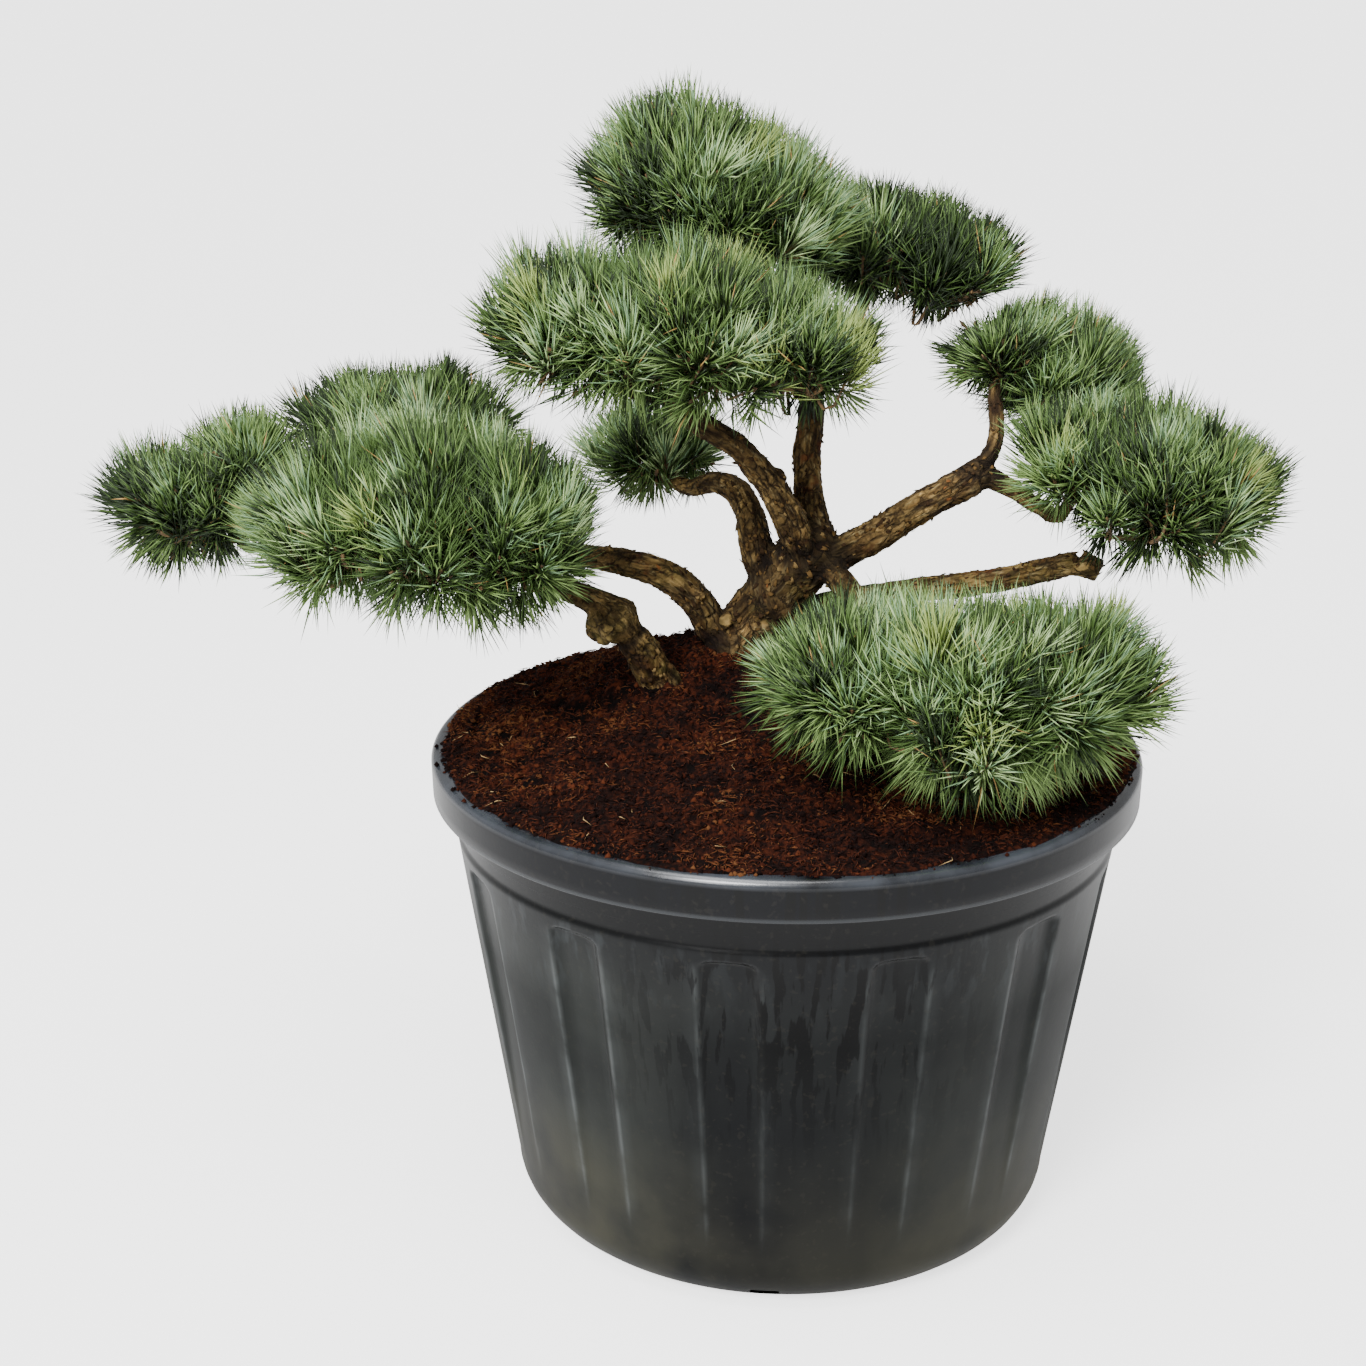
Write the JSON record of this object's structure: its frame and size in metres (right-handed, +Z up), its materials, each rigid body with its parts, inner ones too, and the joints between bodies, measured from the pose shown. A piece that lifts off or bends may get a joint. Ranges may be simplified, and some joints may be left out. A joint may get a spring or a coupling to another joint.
{
  "type": "potted creeping Scots pine bonsai",
  "caption": "Cloud-pruned creeping Scots pine with a short leaning trunk, bent boughs and flat domes of needles, heaped soil and a round nursery pot.",
  "frame": {"origin": "centre of the pot's flat underside, at floor level", "axes": "+Z up; the tree's front, which the picture shows, faces -Y; +X to the right of that view, along the widest spread of the crown"},
  "size_m": [1.1606, 0.7, 1.0993],
  "materials": {
    "pot_plastic": "black polyethylene with a slight sheen, dusty towards the foot",
    "soil": "moist red-brown coir and peat, fibrous and rough",
    "bark": "scaly grey-brown and orange bark",
    "needles": "stiff blue-green needles in pairs, waxy"
  },
  "bodies": {
    "root": {"pot": "pot_plastic", "soil": "soil", "trunk": "bark", "bough_low_left": "bark", "bough_arched_left": "bark", "bough_far_left": "bark", "bough_back_left": "bark", "bough_rear": "bark", "bough_middle": "bark", "bough_top_right": "bark", "bough_right": "bark", "bough_right_upper": "bark", "bough_right_outer": "bark", "bough_low_right": "bark", "bough_front": "bark", "foliage_top": "needles", "foliage_top_right": "needles", "foliage_middle": "needles", "foliage_rear": "needles", "foliage_right_upper": "needles", "foliage_right": "needles", "foliage_front": "needles", "foliage_left": "needles", "foliage_far_left": "needles", "foliage_back_left": "needles"}
  },
  "joints": []
}
